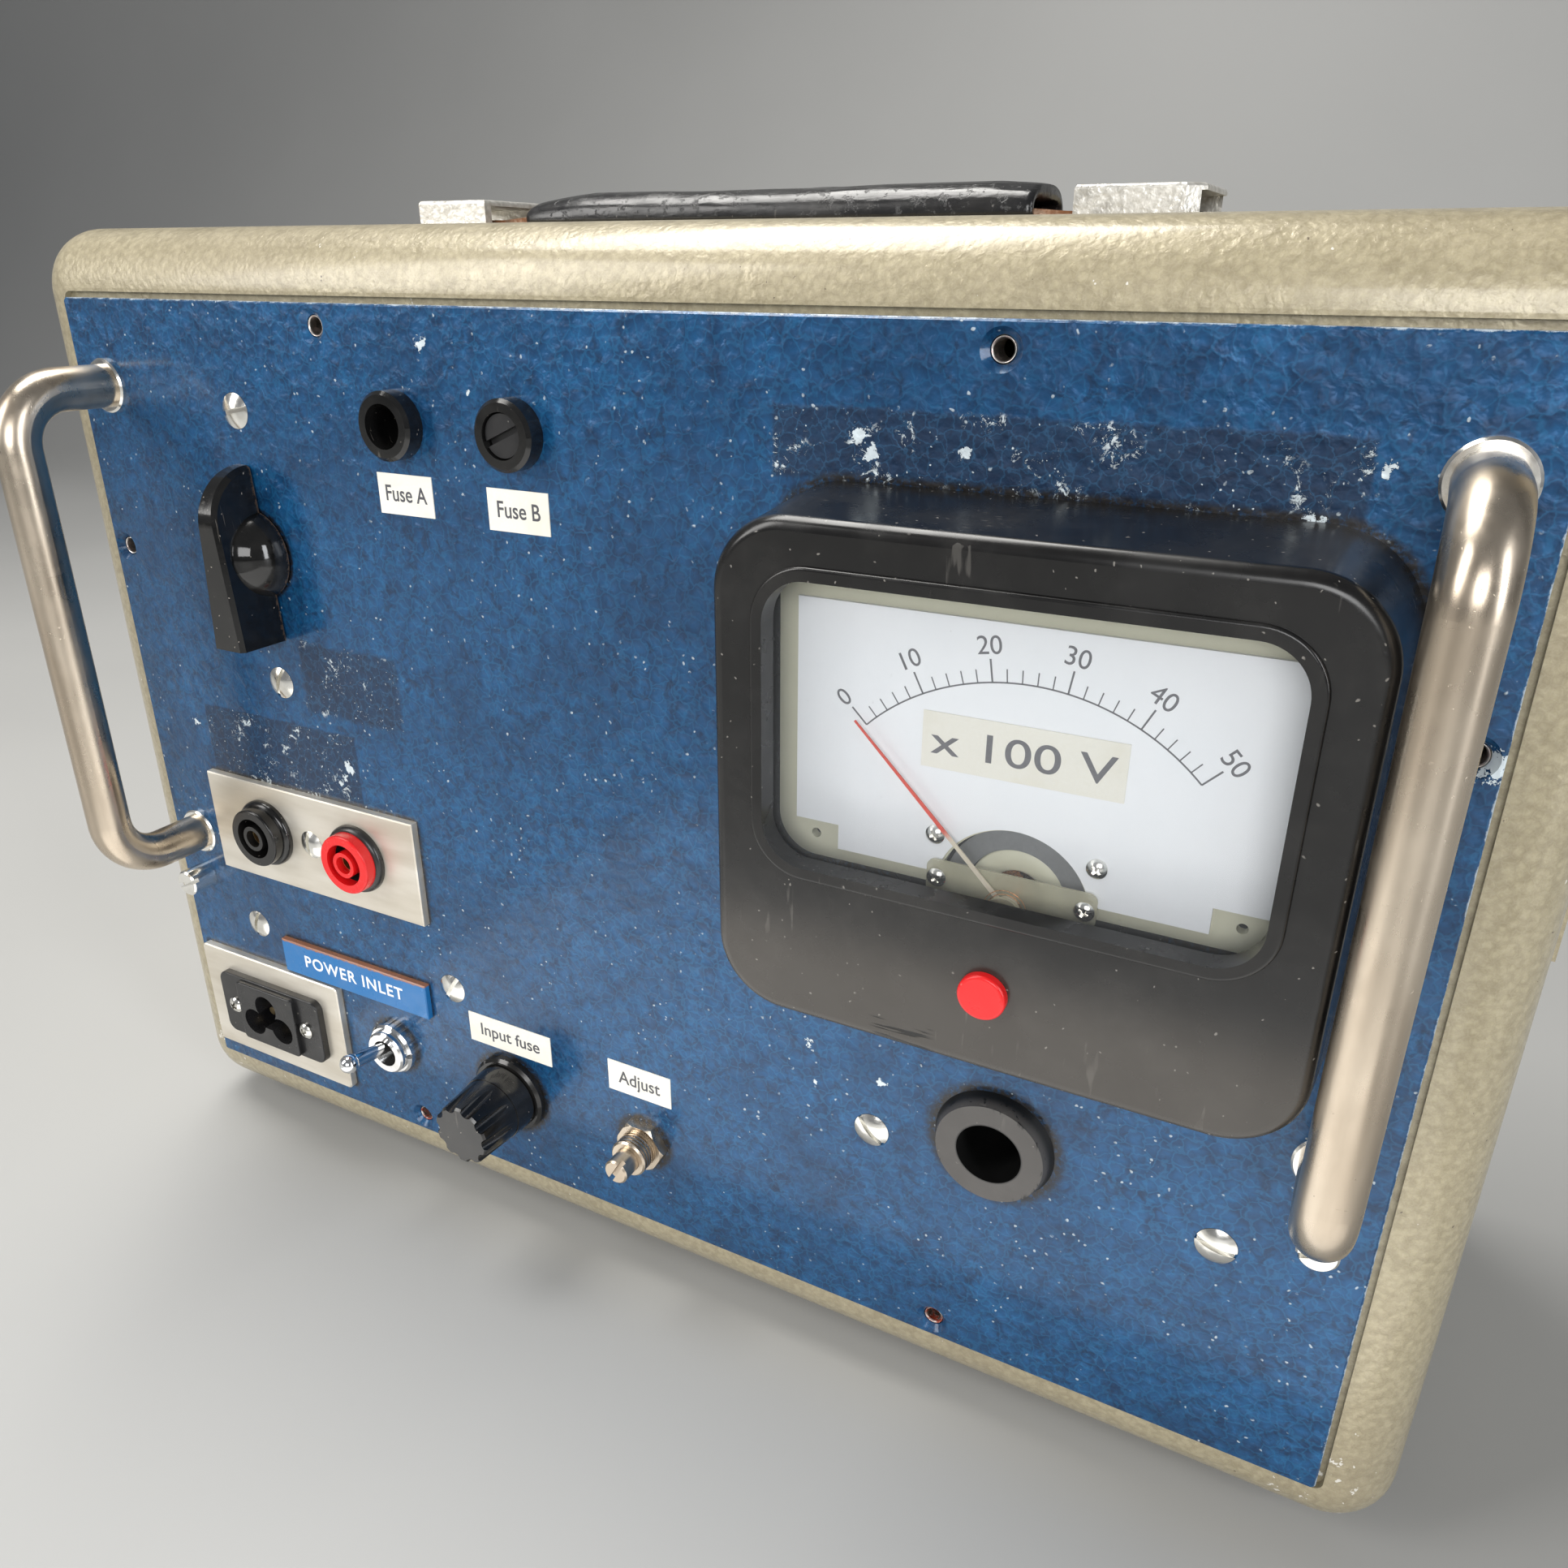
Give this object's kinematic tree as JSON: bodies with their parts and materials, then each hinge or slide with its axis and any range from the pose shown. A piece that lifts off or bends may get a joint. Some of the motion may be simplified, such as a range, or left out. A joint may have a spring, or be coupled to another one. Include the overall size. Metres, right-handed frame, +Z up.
{
  "type": "bench power supply",
  "caption": "Bench high-voltage supply: hammertone case, panel with pull handles, large moving-coil meter, sockets, fuses, switch and strap handle.",
  "frame": {"origin": "on the resting plane, in the middle of the object's width and of its overall depth, from the pull handles' fronts to the case's back", "axes": "+X to the user's right, +Z up; the front panel faces -Y"},
  "size_m": [0.3358, 0.1552, 0.248],
  "materials": {
    "case_paint": "beige hammertone enamel",
    "panel_paint": "blue hammertone enamel",
    "satin_nickel": "satin nickel plate on steel rod",
    "zinc_screws": "zinc-plated steel",
    "hammered_clamps": "silver hammer finish",
    "strap_steel": "spring steel strip with surface rust",
    "black_vinyl": "black vinyl sleeve",
    "black_gloss": "moulded black plastic, glossy",
    "black_satin": "moulded black plastic, satin",
    "black_rubber": "black rubber",
    "red_plastic": "moulded red plastic",
    "plate_aluminium": "brushed aluminium sheet",
    "contact_brass": "turned brass",
    "window_glass": "clear",
    "dial_white": "white enamelled dial plate",
    "label_paper": "white paper tape",
    "cream_plastic": "cream moulded plastic",
    "needle_red": "red lacquered pointer",
    "coil_copper": "enamelled copper wire",
    "magnet_grey": "sintered magnet",
    "plate_blue": "engraved blue laminate",
    "core_steel": "varnished lamination stack",
    "board_laminate": "phenolic board",
    "capacitor_body": "dipped capacitor body",
    "chassis_zinc": "zinc-plated steel sheet",
    "ceramic_body": "ceramic control former",
    "fuse_glass": "glass fuse with plated ends"
  },
  "bodies": {
    "root": {"case_shell": "case_paint", "rubber_feet": "black_rubber", "front_panel": "panel_paint", "slotted_screws": "zinc_screws", "captive_screws": "zinc_screws", "left_pull_handle": "satin_nickel", "right_pull_handle": "satin_nickel", "handle_washers": "satin_nickel", "handle_screws": "zinc_screws", "strap_clamps": "hammered_clamps", "meter_bezel": "black_satin", "meter_glass": "window_glass", "dial_card": "dial_white", "meter_frame": "cream_plastic", "meter_can": "black_satin", "meter_magnet": "magnet_grey", "meter_bridge": "cream_plastic", "movement_screws": "zinc_screws", "control_bracket": "chassis_zinc", "control_body": "ceramic_body", "switch_body": "satin_nickel", "switch_ring_nut": "satin_nickel", "preset_body": "satin_nickel", "preset_nut": "satin_nickel", "hv_socket": "black_satin", "hv_contact": "contact_brass", "upper_fuse_holders": "black_gloss", "lower_fuse_holder": "black_gloss", "fuse_holder_nuts": "black_satin", "socket_plate": "plate_aluminium", "black_socket": "black_gloss", "red_socket": "red_plastic", "socket_sleeves": "contact_brass", "inlet_plate": "plate_aluminium", "mains_inlet": "black_satin", "inlet_pins": "contact_brass", "inlet_screws": "zinc_screws", "name_plate": "plate_blue", "paper_labels": "label_paper", "chassis_bracket": "chassis_zinc", "transformer_core": "core_steel", "transformer_winding": "coil_copper", "multiplier_board": "board_laminate", "board_capacitors": "capacitor_body", "board_rectifiers": "black_satin"},
    "control": {"control_knob": "black_gloss", "control_spindle": "zinc_screws", "control_wiper": "contact_brass"},
    "switch": {"switch_lever": "satin_nickel"},
    "preset": {"preset_shaft": "satin_nickel"},
    "pointer": {"meter_needle": "needle_red", "meter_coil": "coil_copper", "hair_spring": "coil_copper"},
    "zero_plug": {"zero_cap": "red_plastic"},
    "spare_fuse": {"spare_fuse_link": "fuse_glass"},
    "spare_cap": {"spare_fuse_carrier": "black_satin"},
    "mains_fuse": {"mains_fuse_link": "fuse_glass"},
    "mains_cap": {"mains_fuse_carrier": "black_gloss"},
    "strap": {"strap_strip": "strap_steel", "strap_grip": "black_vinyl"}
  },
  "joints": [
    {"name": "control_turn", "type": "hinge", "parent": "root", "child": "control", "pos_m": [-0.0988, -0.04888, 0.1733], "axis": [0, -1, 0], "range_deg": [-140, 140]},
    {"name": "switch_throw", "type": "hinge", "parent": "root", "child": "switch", "pos_m": [-0.0781, -0.04487, 0.0459], "axis": [1, 0, 0], "range_deg": [0, 24]},
    {"name": "preset_turn", "type": "hinge", "parent": "root", "child": "preset", "pos_m": [-0.0008, -0.04888, 0.0443], "axis": [0, -1, 0], "range_deg": [-150, 150]},
    {"name": "pointer_swing", "type": "hinge", "parent": "root", "child": "pointer", "pos_m": [0.0844, -0.06087, 0.1361], "axis": [0, 1, 0], "range_deg": [0, 90], "stiffness_Nm_per_rad": 0.0001},
    {"name": "zero_plug_pull", "type": "slide", "parent": "root", "child": "zero_plug", "axis": [0, -1, 0], "range_m": [0, 0.008]},
    {"name": "spare_fuse_pull", "type": "slide", "parent": "root", "child": "spare_fuse", "axis": [0, -1, 0], "range_m": [0, 0.034]},
    {"name": "spare_cap_twist", "type": "hinge", "parent": "spare_fuse", "child": "spare_cap", "pos_m": [-0.0222, -0.04888, 0.2041], "axis": [0, -1, 0], "range_deg": [0, 90]},
    {"name": "mains_fuse_pull", "type": "slide", "parent": "root", "child": "mains_fuse", "axis": [0, -1, 0], "range_m": [0, 0.034]},
    {"name": "mains_cap_twist", "type": "hinge", "parent": "mains_fuse", "child": "mains_cap", "pos_m": [-0.0401, -0.04888, 0.0446], "axis": [0, -1, 0], "range_deg": [0, 90]},
    {"name": "strap_lift", "type": "slide", "parent": "root", "child": "strap", "axis": [0, 0, 1], "range_m": [0, 0.0025]}
  ]
}
